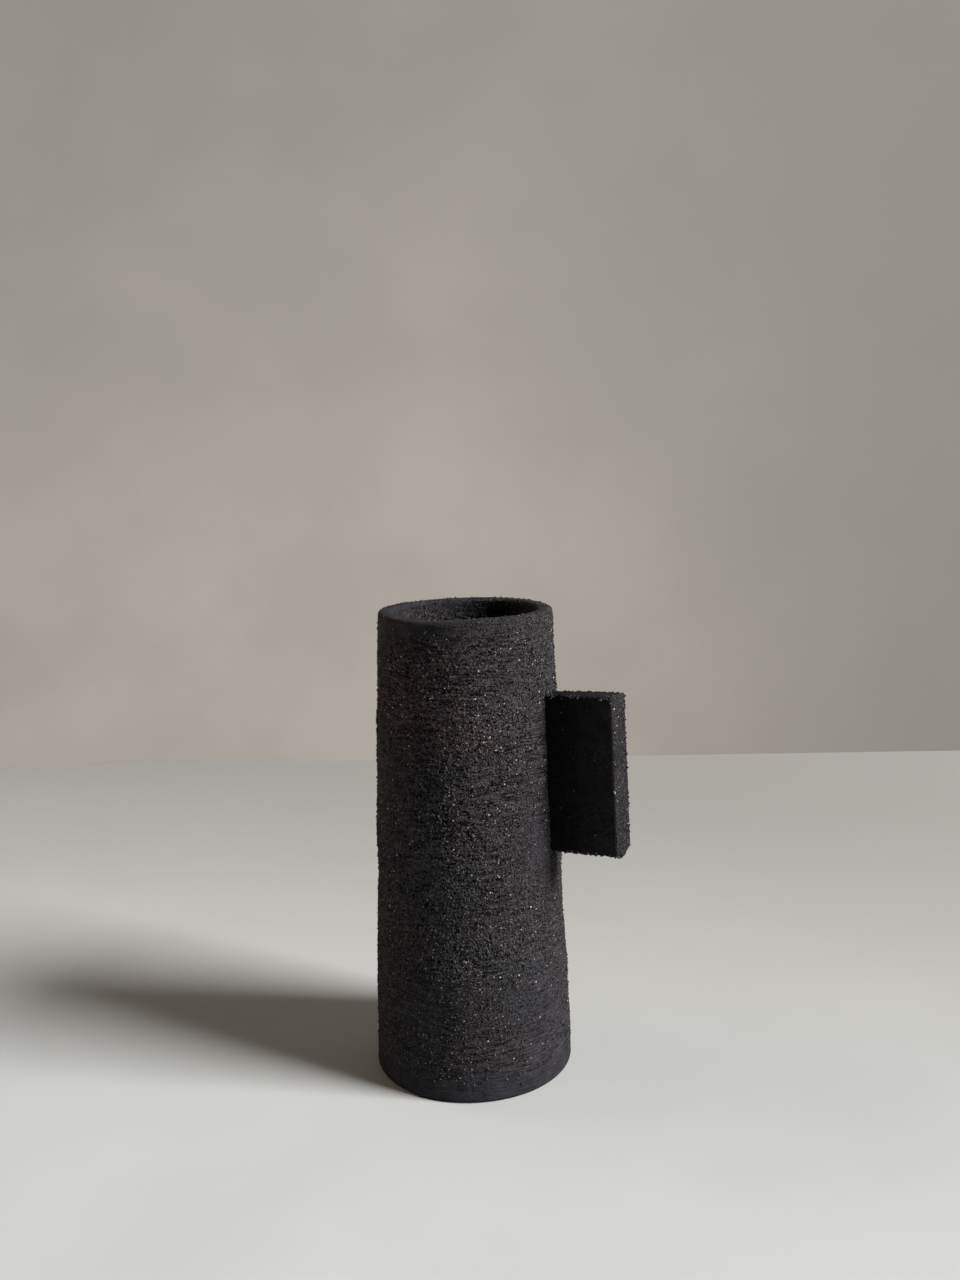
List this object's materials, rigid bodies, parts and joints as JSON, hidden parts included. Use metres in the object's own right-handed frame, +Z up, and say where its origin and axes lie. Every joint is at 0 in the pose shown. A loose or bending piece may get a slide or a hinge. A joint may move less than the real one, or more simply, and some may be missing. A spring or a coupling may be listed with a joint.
{
  "type": "stoneware vase",
  "caption": "Tall tapered cylindrical vase in dark unglazed grogged stoneware, open at the mouth, with a rectangular slab fin standing out from one side above the middle.",
  "frame": {"origin": "centre of the flat underside, on the axis of the tube", "axes": "+Z up along the tube's axis; +X points out through the middle of the slab fin"},
  "size_m": [0.1199, 0.0898, 0.211],
  "materials": {
    "stoneware": "matt, unglazed, coarse grog",
    "slip": "matt, unglazed, fine"
  },
  "bodies": {
    "root": {"wall": "stoneware", "floor_disc": "stoneware", "fin": "stoneware", "floor_seam_coil": "stoneware", "floor_slip": "slip", "fin_slip": "slip"}
  },
  "joints": []
}
